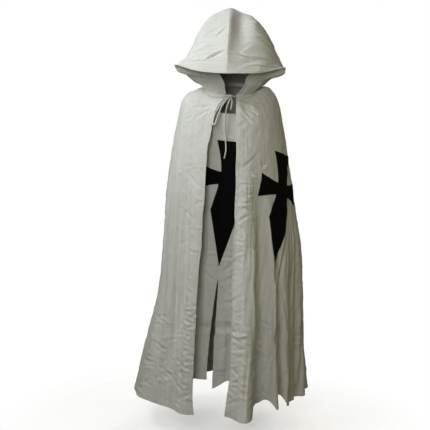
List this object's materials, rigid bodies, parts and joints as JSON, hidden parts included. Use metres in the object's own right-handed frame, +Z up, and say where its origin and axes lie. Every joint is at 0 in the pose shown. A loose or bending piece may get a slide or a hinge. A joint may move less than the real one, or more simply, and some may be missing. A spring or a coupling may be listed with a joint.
{
  "type": "medieval surcoat with hooded cloak",
  "caption": "Hooded cloak tied at the throat and worn open over a long sleeveless surcoat with a front slit, white cotton with a sewn-on black cross, in its worn hollow form.",
  "frame": {"origin": "midpoint between the two places on the shoulders that carry the cloth, 0.09 m behind the front of the neck seam", "axes": "+Z up along the wearer, -Y the front that the face opening and the cloak's gap face, +X the wearer's left, which is the side with the cloak's cross"},
  "size_m": [0.7661, 0.6454, 1.6815],
  "materials": {
    "cloth": "plain-woven off-white cotton, matt, softly creased",
    "black": "plain-woven black cotton, matt",
    "cord": "round braided off-white cotton cord"
  },
  "bodies": {
    "root": {"cloak_right": "cloth", "cloak_left": "cloth", "hood_right": "cloth", "hood_left": "cloth", "neck_casing": "cloth", "surcoat_front": "cloth", "surcoat_back": "cloth", "cloak_cross": "black", "surcoat_cross": "black", "tie_lead_right": "cord", "tie_lead_left": "cord", "tie_knot": "cord", "tie_long_end": "cord", "tie_loop": "cord", "tie_short_end": "cord"}
  },
  "joints": []
}
